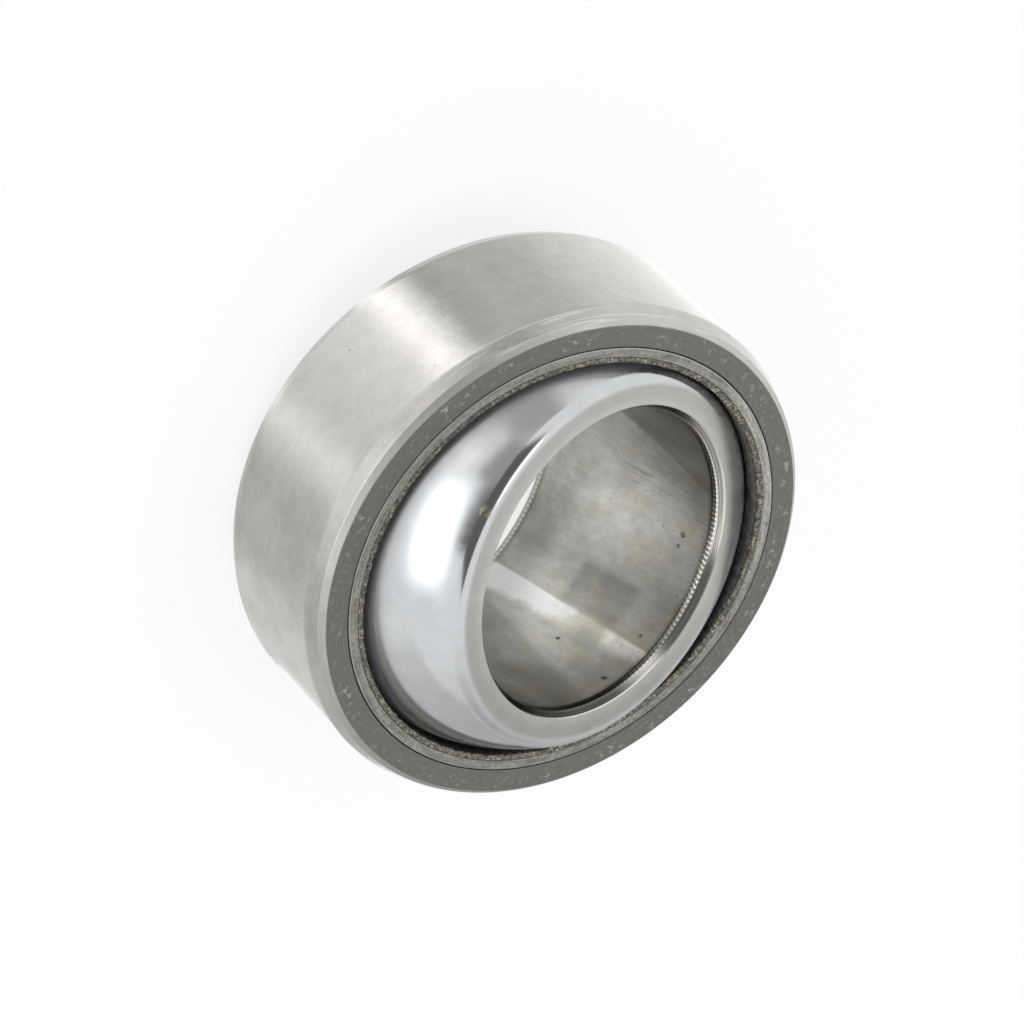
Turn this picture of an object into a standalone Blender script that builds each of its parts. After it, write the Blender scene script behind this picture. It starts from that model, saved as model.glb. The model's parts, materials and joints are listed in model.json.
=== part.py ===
"""A spherical plain bearing: a ball-shaped inner ring that swivels in a lined outer ring.

Run it with blender --background --python part.py, or from Blender's text editor.

Units are metres and +Z is up. The origin is the centre of the ball, where every axis of the
bearing meets. The bearing lies as it comes to rest on a table with its inner ring swivelled:
on one rim of the outer ring and on the opposite rim of the inner ring. Both lean about +Y.
"""

import math

import bpy

MM = 0.001

# Inner ring. The ball's radius follows from its width and from where its end faces would meet it
BORE_DIAMETER = 15.0 * MM
INNER_RING_WIDTH = 12.0 * MM
FACE_WALL = 1.72 * MM
RIM_ROUNDING = 0.7 * MM
BORE_CHAMFER_RISE = 0.27 * MM
BORE_CHAMFER_LENGTH = 0.36 * MM
BORE_LEAD_RISE = 0.08 * MM
BORE_LEAD_LENGTH = 0.26 * MM

# Liner: a strip of steel with a sintered bronze face, pressed round the ball with the outer ring.
# Its ends stay straight and lift off the ball
SLIDING_LAYER_THICKNESS = 0.3 * MM
BACKING_THICKNESS = 0.5 * MM
LIP_LENGTH = 1.0 * MM

# Outer ring. The wall is its thinnest, over the middle of the ball
OUTER_RING_WIDTH = 9.0 * MM
OUTER_RING_WALL = 1.1 * MM
END_CHAMFER = 0.28 * MM
LEAD_IN_RISE = 0.32 * MM
LEAD_IN_LENGTH = 0.72 * MM

# Clearances, all radial
RUNNING_CLEARANCE = 0.03 * MM
BOND_CLEARANCE = 0.02 * MM
SEAM_CLEARANCE = 0.05 * MM

# How far the inner ring stands swivelled in the outer ring
SWIVEL_ANGLE = math.radians(14.6)

# Facets
TURN_STEPS = 84
WALL_STEPS = 8
BALL_STEPS = 10
RIM_STEPS = 5
SMOOTH_UNDER = math.radians(12)

# Radii of the shells, worked outwards from the ball
BALL_RADIUS = math.hypot(BORE_DIAMETER / 2 + FACE_WALL, INNER_RING_WIDTH / 2)
SLIDING_RADIUS = BALL_RADIUS + RUNNING_CLEARANCE
SLIDING_BACK_RADIUS = SLIDING_RADIUS + SLIDING_LAYER_THICKNESS
BACKING_RADIUS = SLIDING_BACK_RADIUS + BOND_CLEARANCE
LINER_RADIUS = BACKING_RADIUS + BACKING_THICKNESS
SOCKET_RADIUS = LINER_RADIUS + SEAM_CLEARANCE
OUTER_RADIUS = SOCKET_RADIUS + OUTER_RING_WALL
END_FACE_RADIUS = OUTER_RADIUS - LEAD_IN_RISE - END_CHAMFER
LIP_LATITUDE = math.asin((OUTER_RING_WIDTH / 2 - LIP_LENGTH) / SLIDING_RADIUS)

# Centre of the small arc that rounds the ball's rim: it touches the end face and the ball
RIM_CENTRE_Z = INNER_RING_WIDTH / 2 - RIM_ROUNDING
RIM_CENTRE_R = math.sqrt((BALL_RADIUS - RIM_ROUNDING) ** 2 - RIM_CENTRE_Z**2)


def clear_scene():
    """Removes every object, so that the scene holds only the bearing."""
    for obj in list(bpy.data.objects):
        bpy.data.objects.remove(obj, do_unlink=True)


def metal(name, colour, roughness, metallic=1.0):
    """A Principled material of one colour."""
    material = bpy.data.materials.new(name)
    material.use_nodes = True
    shader = material.node_tree.nodes["Principled BSDF"]
    shader.inputs["Base Color"].default_value = (*colour, 1.0)
    shader.inputs["Roughness"].default_value = roughness
    shader.inputs["Metallic"].default_value = metallic
    material.diffuse_color = (*colour, 1.0)
    return material


def arc(radius, start, end, steps, centre=(0.0, 0.0)):
    """Points (r, z) of an arc. Angles are latitudes: 0 points away from the axis, 90 degrees up it."""
    angles = [start + (end - start) * i / steps for i in range(steps + 1)]
    return [(centre[0] + radius * math.cos(a), centre[1] + radius * math.sin(a)) for a in angles]


def mirrored(points):
    """The same points below the mid-plane, in the order that carries an outline on downwards."""
    return [(r, -z) for r, z in reversed(points)]


def formed_wall(radius):
    """A wall pressed round the ball, from top to bottom: an arc with a straight lip at each end."""
    lip = (radius * math.cos(LIP_LATITUDE), OUTER_RING_WIDTH / 2)
    middle = arc(radius, LIP_LATITUDE, -LIP_LATITUDE, WALL_STEPS)
    return [lip, *middle, *mirrored([lip])]


def shell_profile(inner_radius, outer_radius):
    """A layer of the liner, between two walls that follow the ball."""
    return formed_wall(outer_radius) + formed_wall(inner_radius)[::-1]


def outer_ring_profile():
    """A plain cylinder outside, with a chamfer and a slow lead-in at both ends, and a socket inside."""
    end = OUTER_RING_WIDTH / 2
    corner = [
        (END_FACE_RADIUS, end),
        (END_FACE_RADIUS + END_CHAMFER, end - END_CHAMFER),
        (OUTER_RADIUS, end - END_CHAMFER - LEAD_IN_LENGTH),
    ]
    return corner + mirrored(corner) + formed_wall(SOCKET_RADIUS)[::-1]


def inner_ring_profile():
    """A ball cut flat at both ends, with rounded rims, and a bore with a lead and a chamfer."""
    end = INNER_RING_WIDTH / 2
    bore = BORE_DIAMETER / 2
    rim_latitude = math.atan2(RIM_CENTRE_Z, RIM_CENTRE_R)
    rim = arc(RIM_ROUNDING, math.pi / 2, rim_latitude, RIM_STEPS, (RIM_CENTRE_R, RIM_CENTRE_Z))
    top = [
        (bore, end - BORE_CHAMFER_LENGTH - BORE_LEAD_LENGTH),
        (bore + BORE_LEAD_RISE, end - BORE_CHAMFER_LENGTH),
        (bore + BORE_LEAD_RISE + BORE_CHAMFER_RISE, end),
        *rim,
    ]
    ball = arc(BALL_RADIUS, rim_latitude, -rim_latitude, BALL_STEPS)[1:-1]
    return top + ball + mirrored(top)


def resting_leans():
    """How far each ring leans from the vertical when both touch one flat surface.

    A ring that leans by an angle reaches r * sin + z * cos below the centre, with r and z those
    of its lowest edge, and the rounded rim reaches its rounding further. The two leans add up
    to the swivel, so equal reaches give a * sin + b * cos = rounding for the outer ring's lean.
    """
    a = END_FACE_RADIUS + RIM_CENTRE_R * math.cos(SWIVEL_ANGLE) - RIM_CENTRE_Z * math.sin(SWIVEL_ANGLE)
    b = OUTER_RING_WIDTH / 2 - RIM_CENTRE_R * math.sin(SWIVEL_ANGLE) - RIM_CENTRE_Z * math.cos(SWIVEL_ANGLE)
    outer_lean = math.asin(RIM_ROUNDING / math.hypot(a, b)) - math.atan2(b, a)
    return outer_lean, SWIVEL_ANGLE - outer_lean


def pivot(name, lean, collection):
    """An empty at the ball's centre that leans its children about +Y."""
    empty = bpy.data.objects.new(name, None)
    empty.empty_display_size = OUTER_RADIUS
    empty.rotation_euler.y = lean
    collection.objects.link(empty)
    return empty


def turned(name, profile, material, parent, collection):
    """A solid of revolution about its own Z: a closed outline swept round by a Screw modifier."""
    outline = bpy.data.meshes.new(name + "_outline")
    count = len(profile)
    outline.from_pydata([(r, 0.0, z) for r, z in profile], [(i, (i + 1) % count) for i in range(count)], [])
    obj = bpy.data.objects.new(name, outline)
    collection.objects.link(obj)

    screw = obj.modifiers.new("turn", "SCREW")
    screw.axis = "Z"
    screw.angle = math.tau
    screw.steps = screw.render_steps = TURN_STEPS
    screw.use_merge_vertices = True
    screw.merge_threshold = 0.001 * MM

    solid = bpy.data.meshes.new_from_object(obj.evaluated_get(bpy.context.evaluated_depsgraph_get()))
    solid.name = name
    solid.shade_smooth()
    solid.set_sharp_from_angle(angle=SMOOTH_UNDER)
    obj.modifiers.clear()
    obj.data = solid
    bpy.data.meshes.remove(outline)

    solid.materials.clear()
    solid.materials.append(material)
    obj.parent = parent
    return obj


def build_outer(collection, lean):
    """The outer ring, and the two layers of the liner that it is pressed round."""
    body = pivot("outer_body", lean, collection)
    ring_steel = metal("ground_ring_steel", (0.50, 0.49, 0.47), 0.34)
    backing_steel = metal("strip_steel", (0.36, 0.35, 0.33), 0.5)
    bronze = metal("sintered_bronze_ptfe", (0.27, 0.24, 0.15), 0.62)
    turned("outer_ring", outer_ring_profile(), ring_steel, body, collection)
    turned("liner_backing", shell_profile(BACKING_RADIUS, LINER_RADIUS), backing_steel, body, collection)
    turned("sliding_layer", shell_profile(SLIDING_RADIUS, SLIDING_BACK_RADIUS), bronze, body, collection)


def build_inner(collection, lean):
    """The inner ring, on the swivel's centre."""
    body = pivot("swivel_centre", lean, collection)
    chrome = metal("polished_ball_steel", (0.62, 0.64, 0.66), 0.12)
    turned("inner_ring", inner_ring_profile(), chrome, body, collection)


def main():
    clear_scene()
    collection = bpy.data.collections.new("spherical_plain_bearing")
    bpy.context.scene.collection.children.link(collection)
    outer_lean, inner_lean = resting_leans()
    build_outer(collection, -outer_lean)
    build_inner(collection, inner_lean)


main()
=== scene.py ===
"""The looks of a spherical plain bearing: fine turned pieces, procedural metals and a white studio.

Lengths here are millimetres and Blender gets metres. Each ring is worked out in its own frame, with
its axis along Z and the ball's centre at the origin, and is then leaned about +Y as it lies.
"""

import json
import logging
import math
from dataclasses import dataclass
from enum import Enum
from functools import reduce

import bpy
import numpy as np
from mathutils import Euler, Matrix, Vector


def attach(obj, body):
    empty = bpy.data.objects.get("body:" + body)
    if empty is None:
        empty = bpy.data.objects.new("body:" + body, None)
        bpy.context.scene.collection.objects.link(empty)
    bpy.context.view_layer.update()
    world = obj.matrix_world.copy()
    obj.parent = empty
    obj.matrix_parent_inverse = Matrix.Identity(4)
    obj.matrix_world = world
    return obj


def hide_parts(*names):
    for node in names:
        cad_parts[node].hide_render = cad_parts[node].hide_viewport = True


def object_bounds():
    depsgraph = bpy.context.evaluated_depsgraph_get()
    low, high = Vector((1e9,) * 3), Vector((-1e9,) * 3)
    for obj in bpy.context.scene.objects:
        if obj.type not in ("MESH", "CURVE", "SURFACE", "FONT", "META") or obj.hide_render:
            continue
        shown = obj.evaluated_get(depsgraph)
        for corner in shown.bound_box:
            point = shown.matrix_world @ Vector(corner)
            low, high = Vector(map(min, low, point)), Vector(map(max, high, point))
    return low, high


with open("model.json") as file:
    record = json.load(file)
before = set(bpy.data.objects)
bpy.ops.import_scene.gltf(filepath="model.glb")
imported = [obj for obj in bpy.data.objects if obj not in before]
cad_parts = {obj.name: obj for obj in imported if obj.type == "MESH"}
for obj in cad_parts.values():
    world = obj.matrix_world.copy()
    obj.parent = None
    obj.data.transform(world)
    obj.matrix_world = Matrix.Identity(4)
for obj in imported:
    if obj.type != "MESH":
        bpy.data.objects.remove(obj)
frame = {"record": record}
CAD_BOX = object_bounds()

LOG = logging.getLogger("bearing")
MM = 0.001

Socket = bpy.types.NodeSocket
Value = Socket | float | tuple[float, ...]
Colour = tuple[float, float, float]
# A point, in millimetres
Place = tuple[float, float, float]
# A stretch of a ring: its middle, half its length, and how far it fades beyond each end, in degrees
Sector = tuple[float, float, float]
# Pairs of a value and the level there
Stops = tuple[tuple[float, float], ...]

WHITE: Colour = (1.0, 1.0, 1.0)


class Body(Enum):
    """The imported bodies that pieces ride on."""

    OUTER = "outer_body"
    INNER = "inner_body"


class Slot(Enum):
    """The record's material slots."""

    RING_STEEL = "ring_steel"
    STRIP_STEEL = "strip_steel"
    BRONZE_LAYER = "bronze_layer"
    POLISHED_STEEL = "polished_steel"


class Node(Enum):
    """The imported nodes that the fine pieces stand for."""

    OUTER_RING = "outer_ring"
    LINER_BACKING = "liner_backing"
    SLIDING_LAYER = "sliding_layer"
    INNER_RING = "inner_ring"


class Use(Enum):
    """What a panel of the studio is for."""

    LAMP = "lights everything and shows in reflections"
    CARD = "only shows in reflections"


@dataclass(frozen=True)
class BearingSizes:
    """The driving sizes of the bearing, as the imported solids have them, and what follows from them."""

    bore: float = 15.0
    inner_width: float = 12.0
    face_wall: float = 1.72
    rim_rounding: float = 0.7
    chamfer_rise: float = 0.27
    chamfer_length: float = 0.36
    lead_rise: float = 0.08
    lead_length: float = 0.26
    layer_thickness: float = 0.3
    backing_thickness: float = 0.5
    lip_length: float = 1.0
    outer_width: float = 9.0
    outer_wall: float = 1.1
    end_chamfer: float = 0.28
    lead_in_rise: float = 0.32
    lead_in_length: float = 0.72
    running_clearance: float = 0.03
    bond_clearance: float = 0.02
    seam_clearance: float = 0.05

    @property
    def bore_radius(self) -> float:
        """Radius of the bore."""
        return self.bore / 2

    @property
    def inner_end(self) -> float:
        """Height of the inner ring's end face."""
        return self.inner_width / 2

    @property
    def outer_end(self) -> float:
        """Height of the outer ring's end face."""
        return self.outer_width / 2

    @property
    def ball(self) -> float:
        """Radius of the ball."""
        return math.hypot(self.bore_radius + self.face_wall, self.inner_end)

    @property
    def layer_inside(self) -> float:
        """Radius of the sliding surface."""
        return self.ball + self.running_clearance

    @property
    def layer_outside(self) -> float:
        """Radius of the sliding layer's back."""
        return self.layer_inside + self.layer_thickness

    @property
    def backing_inside(self) -> float:
        """Inner radius of the liner's steel back."""
        return self.layer_outside + self.bond_clearance

    @property
    def backing_outside(self) -> float:
        """Outer radius of the liner's steel back."""
        return self.backing_inside + self.backing_thickness

    @property
    def socket(self) -> float:
        """Radius of the outer ring's socket."""
        return self.backing_outside + self.seam_clearance

    @property
    def outside(self) -> float:
        """Radius of the outer ring's cylinder."""
        return self.socket + self.outer_wall

    @property
    def end_face(self) -> float:
        """Outer radius of the outer ring's end face."""
        return self.outside - self.lead_in_rise - self.end_chamfer

    @property
    def lip_latitude(self) -> float:
        """Latitude at which the liner leaves the ball and runs on straight."""
        return math.asin((self.outer_end - self.lip_length) / self.layer_inside)


SIZES = BearingSizes()


def lean_of(mount: str) -> float:
    """A ring's lean about +Y, in radians, read from one of its packed mounts."""
    axis = next(m["axis"] for m in frame["record"]["mounts"] if m["name"] == mount)
    return math.atan2(axis[0], axis[2])


# Surfaces


def arc(radius: float, start: float, stop: float, count: int) -> np.ndarray:
    """Points of an arc about the ball's centre.

    A point is (radius * cos(latitude), radius * sin(latitude)), with latitudes evenly spaced.

    Args:
        radius: the arc's radius.
        start: its first latitude, in radians.
        stop: its last latitude.
        count: how many points it has.

    Returns:
        Rows of (r, z, 0), where the 0 says that the point isn't rounded.
    """
    latitude = np.linspace(start, stop, count)
    return np.stack([radius * np.cos(latitude), radius * np.sin(latitude), np.zeros(count)], axis=1)


def stretch(start: tuple[float, float], stop: tuple[float, float], count: int) -> np.ndarray:
    """Evenly spaced points between two corners of an outline, the corners left out.

    Args:
        start: the first corner, as (r, z).
        stop: the second corner.
        count: how many points lie between them.

    Returns:
        Rows of (r, z, 0).
    """
    share = np.linspace(0.0, 1.0, count + 2)[1:-1, None]
    points = np.array(start) * (1 - share) + np.array(stop) * share
    return np.concatenate([points, np.zeros((count, 1))], axis=1)


def mirrored(rows: np.ndarray) -> np.ndarray:
    """The same outline rows below the mid-plane, in the order that carries an outline on downwards."""
    return rows[::-1] * np.array([1.0, -1.0, 1.0])


def rounded(rows: np.ndarray, steps: int = 3, margin: float = 0.02) -> np.ndarray:
    """A closed outline with its corners rounded.

    A corner with a rounding is cut back by rounding * tan(turn / 2) along both of its sides, and
    an arc that touches both takes its place, with one more point beyond each end of the arc so
    that the shading of the flat next to it stays flat. The arc's points turn evenly from the
    first touching point to the second, as (sin((1 - s) turn) u + sin(s turn) v) / sin(turn).

    Args:
        rows: rows of (r, z, rounding), in order round the outline.
        steps: steps along each arc.
        margin: how far beyond the arc the further points lie.

    Returns:
        Rows of (r, z).
    """
    here, rounding = rows[:, :2], rows[:, 2]
    back = np.roll(here, 1, axis=0) - here
    ahead = np.roll(here, -1, axis=0) - here
    back /= np.linalg.norm(back, axis=1, keepdims=True)
    ahead /= np.linalg.norm(ahead, axis=1, keepdims=True)
    turn = np.arccos(np.clip(-(back * ahead).sum(1), -1.0, 1.0))
    soft = rounding > 0
    turn = np.where(soft, turn, 1.0)
    cut = (rounding * np.tan(turn / 2))[:, None]
    inward = back + ahead
    inward = np.where(soft[:, None], inward, 1.0)
    inward /= np.linalg.norm(inward, axis=1, keepdims=True)
    centre = here + inward * (rounding / np.cos(turn / 2))[:, None]
    u, v = here + back * cut - centre, here + ahead * cut - centre
    share = np.linspace(0.0, 1.0, steps + 1)
    first = (np.sin((1 - share) * turn[:, None]) / np.sin(turn)[:, None])[..., None]
    last = (np.sin(share * turn[:, None]) / np.sin(turn)[:, None])[..., None]
    bend = centre[:, None] + first * u[:, None] + last * v[:, None]
    before = (here + back * (cut + margin))[:, None]
    beyond = (here + ahead * (cut + margin))[:, None]
    points = np.concatenate([before, bend, beyond], axis=1)
    kept = np.broadcast_to(soft[:, None], points.shape[:2]).copy()
    points[~soft, 0] = here[~soft]
    kept[:, 0] = True
    return points[kept]


def ripple(angles: np.ndarray, lowest: int, highest: int, seed: int) -> np.ndarray:
    """A random line round a ring that closes on itself, with a spread of about 1.

    It is the sum of cos(n * angle + phase) over the whole numbers n from lowest to highest, each
    with its own random phase and a strength that falls as n grows.

    Args:
        angles: where it is wanted, in radians.
        lowest: its slowest wave, in waves a turn.
        highest: its fastest wave.
        seed: picks the phases.

    Returns:
        One number for each angle.
    """
    order = np.arange(lowest, highest + 1)
    phase = np.random.default_rng(seed).uniform(0.0, math.tau, order.size)
    strength = (lowest / order) ** 0.5
    waves = strength * np.cos(order * angles[:, None] + phase)
    return waves.sum(1) / math.sqrt(0.5 * (strength**2).sum())


@dataclass(frozen=True)
class TurnedPiece:
    """A closed outline carried once round its own axis, then leaned about +Y.

    The surface is (r cos t, r sin t, z), with (r, z) running along the outline and t round the
    ring, plus the offsets that its maker adds to r and z at each point of that grid.
    """

    name: str
    lean: float
    body: Body
    slot: Slot
    node: Node
    material: bpy.types.Material

    def make(self, outline: np.ndarray, angles: np.ndarray, lift: np.ndarray | float = 0.0,
             swell: np.ndarray | float = 0.0) -> None:
        """Builds the piece, dresses it and puts it on its body.

        Args:
            outline: rows of (r, z), closed.
            angles: the angles t, in radians.
            lift: added to z on the grid of outline by angle.
            swell: added to r on the same grid.
        """
        radius = outline[:, :1] + swell + np.zeros((1, angles.size))
        height = outline[:, 1:] + lift + np.zeros((1, angles.size))
        x, y = radius * np.cos(angles), radius * np.sin(angles)
        cos, sin = math.cos(self.lean), math.sin(self.lean)
        points = np.stack([x * cos + height * sin, y, height * cos - x * sin], axis=-1) * MM
        area = np.sum(outline[:, 0] * np.roll(outline[:, 1], -1) - np.roll(outline[:, 0], -1) * outline[:, 1])
        mesh = self.skin(points, area > 0)
        mesh.materials.append(self.material)
        obj = bpy.data.objects.new(self.name, mesh)
        bpy.context.scene.collection.objects.link(obj)
        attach(obj, self.body.value)
        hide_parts(self.node.value)
        LOG.info("%s: %d points, %d faces", self.name, len(mesh.vertices), len(mesh.polygons))

    def skin(self, points: np.ndarray, reverse: bool) -> bpy.types.Mesh:
        """A mesh over a grid of points that closes on itself both ways.

        Args:
            points: the grid, with x, y and z along its last axis.
            reverse: whether the faces are turned over so that they point outwards.

        Returns:
            The mesh, shaded smooth.
        """
        rows, columns = points.shape[:2]
        index = np.arange(rows * columns).reshape(rows, columns)
        right, down = np.roll(index, -1, axis=1), np.roll(index, -1, axis=0)
        quads = np.stack([index, right, np.roll(down, -1, axis=1), down], axis=-1).reshape(-1, 4)
        quads = quads if reverse else quads[:, ::-1]
        mesh = bpy.data.meshes.new(self.name)
        mesh.vertices.add(rows * columns)
        mesh.vertices.foreach_set("co", points.astype(np.float32).ravel())
        mesh.loops.add(quads.size)
        mesh.loops.foreach_set("vertex_index", quads.astype(np.int32).ravel())
        mesh.polygons.add(len(quads))
        mesh.polygons.foreach_set("loop_start", np.arange(0, quads.size, 4, dtype=np.int32))
        mesh.update(calc_edges=True)
        mesh.validate()
        mesh.shade_smooth()
        return mesh


def whole_turn(columns: int) -> np.ndarray:
    """Evenly spaced angles once round a ring."""
    return np.arange(columns) * (math.tau / columns)


# Materials


class Wiring:
    """Adds nodes to a tree, each with its inputs set or linked as it is made."""

    def __init__(self, tree: bpy.types.NodeTree) -> None:
        """Starts on a tree as Blender made it."""
        self.tree = tree

    def node(self, kind: str, inputs: dict[int | str, Value], output: int | str = 0,
             **settings: object) -> Socket:
        """Adds a node.

        Args:
            kind: its type, without the ShaderNode that all types start with.
            inputs: its inputs by name or index, each a number, a tuple or another node's output.
            output: which of its outputs is wanted.
            **settings: its other settings.

        Returns:
            The output asked for.
        """
        made = self.tree.nodes.new("ShaderNode" + kind)
        for key, setting in settings.items():
            setattr(made, key, setting)
        for key, value in inputs.items():
            self.feed(made.inputs[key], value)
        return made.outputs[output]

    def feed(self, socket: Socket, value: Value) -> None:
        """Links an output to an input, or sets the input to a number or tuple.

        Args:
            socket: the input.
            value: the output, number or tuple.
        """
        if isinstance(value, bpy.types.NodeSocket):
            self.tree.links.new(value, socket)
        elif isinstance(value, tuple) and socket.type == "RGBA":
            socket.default_value = (*value[:3], 1.0)
        else:
            socket.default_value = value

    def math(self, operation: str, *values: Value) -> Socket:
        """A Math node."""
        return self.node("Math", dict(enumerate(values)), operation=operation)

    def chain(self, operation: str, values: tuple[Value, ...]) -> Socket:
        """A two-number operation carried through all the given numbers."""
        return reduce(lambda first, second: self.math(operation, first, second), values)

    def total(self, *values: Value) -> Socket:
        """All the given numbers added."""
        return self.chain("ADD", values)

    def product(self, *values: Value) -> Socket:
        """All the given numbers multiplied."""
        return self.chain("MULTIPLY", values)

    def largest(self, *values: Value) -> Socket:
        """The largest of the given numbers."""
        return self.chain("MAXIMUM", values)

    def step(self, value: Value, low: float, high: float, start: float = 0.0, stop: float = 1.0) -> Socket:
        """A smooth step from one number to another.

        Args:
            value: what it follows.
            low: where it begins.
            high: where it ends, which may be below where it begins.
            start: the number on low's side.
            stop: the number on high's side.

        Returns:
            The stepped number.
        """
        if low > high:
            low, high, start, stop = high, low, stop, start
        levels = {"Value": value, "From Min": low, "From Max": high, "To Min": start, "To Max": stop}
        return self.node("MapRange", levels, interpolation_type="SMOOTHSTEP")

    def mix(self, share: Value, first: Value, second: Value) -> Socket:
        """A colour between two colours."""
        return self.node("Mix", {0: share, 6: first, 7: second}, output=2, data_type="RGBA")

    def between(self, share: Value, first: Value, second: Value) -> Socket:
        """A number between two numbers."""
        return self.node("Mix", {0: share, 2: first, 3: second}, output=0, data_type="FLOAT")

    def scaled(self, colour: Value, strength: Value) -> Socket:
        """A colour made lighter or darker by a number."""
        return self.node("VectorMath", {0: colour, "Scale": strength}, operation="SCALE")

    def noise(self, vector: Value, scale: float, detail: float = 2.0, roughness: float = 0.5,
              distortion: float = 0.0) -> Socket:
        """A Noise texture's grey value."""
        inputs = {"Vector": vector, "Scale": scale, "Detail": detail, "Roughness": roughness,
                  "Distortion": distortion}
        return self.node("TexNoise", inputs)

    def specks(self, vector: Value, scale: float, size: float) -> Socket:
        """Round spots: 1 at the middle of each cell of a Voronoi texture, falling to 0 at size."""
        return self.step(self.node("TexVoronoi", {"Vector": vector, "Scale": scale}), size, size * 0.4)

    def levels(self, value: Value, stops: Stops, top: float = 2.0) -> Socket:
        """A number that runs smoothly through given levels.

        Args:
            value: what the level follows.
            stops: pairs of a value and the level there, in rising order, 32 at most.
            top: a number that no level is above.

        Returns:
            The level.
        """
        first, last = stops[0][0], stops[-1][0]
        share = self.node("MapRange", {"Value": value, "From Min": first, "From Max": last})
        made = self.tree.nodes.new("ShaderNodeValToRGB")
        made.color_ramp.interpolation = "CARDINAL"
        points = made.color_ramp.elements
        while len(points) < len(stops):
            points.new(1.0)
        for point, (place, level) in zip(points, stops):
            point.position = (place - first) / (last - first)
            point.color = (level / top,) * 3 + (1.0,)
        self.feed(made.inputs[0], share)
        return self.product(made.outputs[0], top)

    def spot(self, vector: Value, centre: Place, size: float) -> Socket:
        """A soft round mark: 1 at its centre, falling to 0 at the given distance."""
        away = self.node("VectorMath", {0: vector, 1: centre}, output="Value", operation="DISTANCE")
        return self.step(away, size, size * 0.45)

    def bump(self, height: Value, distance: float, normal: Value | None = None) -> Socket:
        """A Bump node.

        Args:
            height: the relief.
            distance: how deep it is, in millimetres.
            normal: a coarser relief that it lies on.

        Returns:
            The bent normal.
        """
        inputs: dict[int | str, Value] = {"Height": height, "Distance": distance * MM}
        if normal is not None:
            inputs["Normal"] = normal
        return self.node("Bump", inputs, output="Normal")

    def parts(self, vector: Value) -> tuple[Socket, ...]:
        """A vector's three numbers."""
        return tuple(self.node("SeparateXYZ", {0: vector}).node.outputs)

    def seen(self) -> Socket:
        """1 for rays from the camera, from metal and through glass, and 0 for the light on matt things."""
        rays = ("Is Camera Ray", "Is Glossy Ray", "Is Transmission Ray")
        return self.largest(*[self.node("LightPath", {}, output=ray) for ray in rays])


class Graph(Wiring):
    """Builds one material."""

    def __init__(self, name: str) -> None:
        """Starts the material with its shader and output."""
        self.material = bpy.data.materials.new(name)
        self.material.use_nodes = True
        super().__init__(self.material.node_tree)
        self.shader = self.tree.nodes["Principled BSDF"]

    def finish(self, colour: Value, roughness: Value, normal: Value) -> bpy.types.Material:
        """Makes it a metal.

        Args:
            colour: its base colour.
            roughness: its roughness.
            normal: its normal, bent by its relief.

        Returns:
            The material.
        """
        self.feed(self.shader.inputs["Base Color"], colour)
        self.feed(self.shader.inputs["Roughness"], roughness)
        self.feed(self.shader.inputs["Normal"], normal)
        self.shader.inputs["Metallic"].default_value = 1.0
        return self.material

    def surface(self, shader: Socket) -> bpy.types.Material:
        """Puts another shader in the usual one's place.

        Args:
            shader: the other shader.

        Returns:
            The material.
        """
        self.feed(self.tree.nodes["Material Output"].inputs["Surface"], shader)
        self.tree.nodes.remove(self.shader)
        return self.material

    def glow(self, shown: Value, light: Socket) -> bpy.types.Material:
        """Makes it a light over what is behind it, seen where shown is 1 and clear where it is 0."""
        return self.surface(self.node("MixShader", {0: shown, 1: self.node("BsdfTransparent", {}), 2: light}))


class RingGraph(Graph):
    """A graph that knows where it is on a turned ring: radius, height and direction, in millimetres.

    A Mapping node turns the Object coordinates by the ring's lean. The direction round the ring is
    the pair (x / radius, y / radius), which has no seam.
    """

    def __init__(self, name: str, lean: float) -> None:
        """Starts the material for a ring.

        Args:
            name: the material's name.
            lean: the ring's lean about +Y, in radians.
        """
        super().__init__(name)
        place = self.node("TexCoord", {}, output="Object")
        turn = {"Vector": place, "Rotation": (0.0, -lean, 0.0), "Scale": (1 / MM,) * 3}
        self.place = self.node("Mapping", turn)
        self.x, self.y, self.z = self.parts(self.place)
        squared = self.total(self.product(self.x, self.x), self.product(self.y, self.y))
        self.radius = self.math("SQRT", squared)
        self.across = self.math("DIVIDE", self.x, self.radius)
        self.along = self.math("DIVIDE", self.y, self.radius)
        self.height = self.math("ABSOLUTE", self.z)
        self.angle = self.math("ARCTAN2", self.y, self.x)

    def around(self, turns: float, depth: float, level: Value) -> Socket:
        """A vector for patterns that run round the ring.

        Args:
            turns: how much the pattern changes round the ring; the smaller, the longer its streaks.
            depth: how much it changes with the level, for each millimetre.
            level: the height or radius that the streaks lie at.

        Returns:
            The vector (turns * x / radius, turns * y / radius, depth * level).
        """
        x, y = self.product(self.across, turns), self.product(self.along, turns)
        return self.node("CombineXYZ", {"X": x, "Y": y, "Z": self.product(level, depth)})

    def sector(self, where: Sector) -> Socket:
        """A mask of a stretch of the ring.

        Args:
            where: the stretch.

        Returns:
            1 inside and 0 outside.
        """
        middle, half, soft = where
        turn = math.radians(middle)
        x, y = self.product(self.across, math.cos(turn)), self.product(self.along, math.sin(turn))
        return self.step(self.total(x, y), math.cos(math.radians(half + soft)), math.cos(math.radians(half)))


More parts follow.
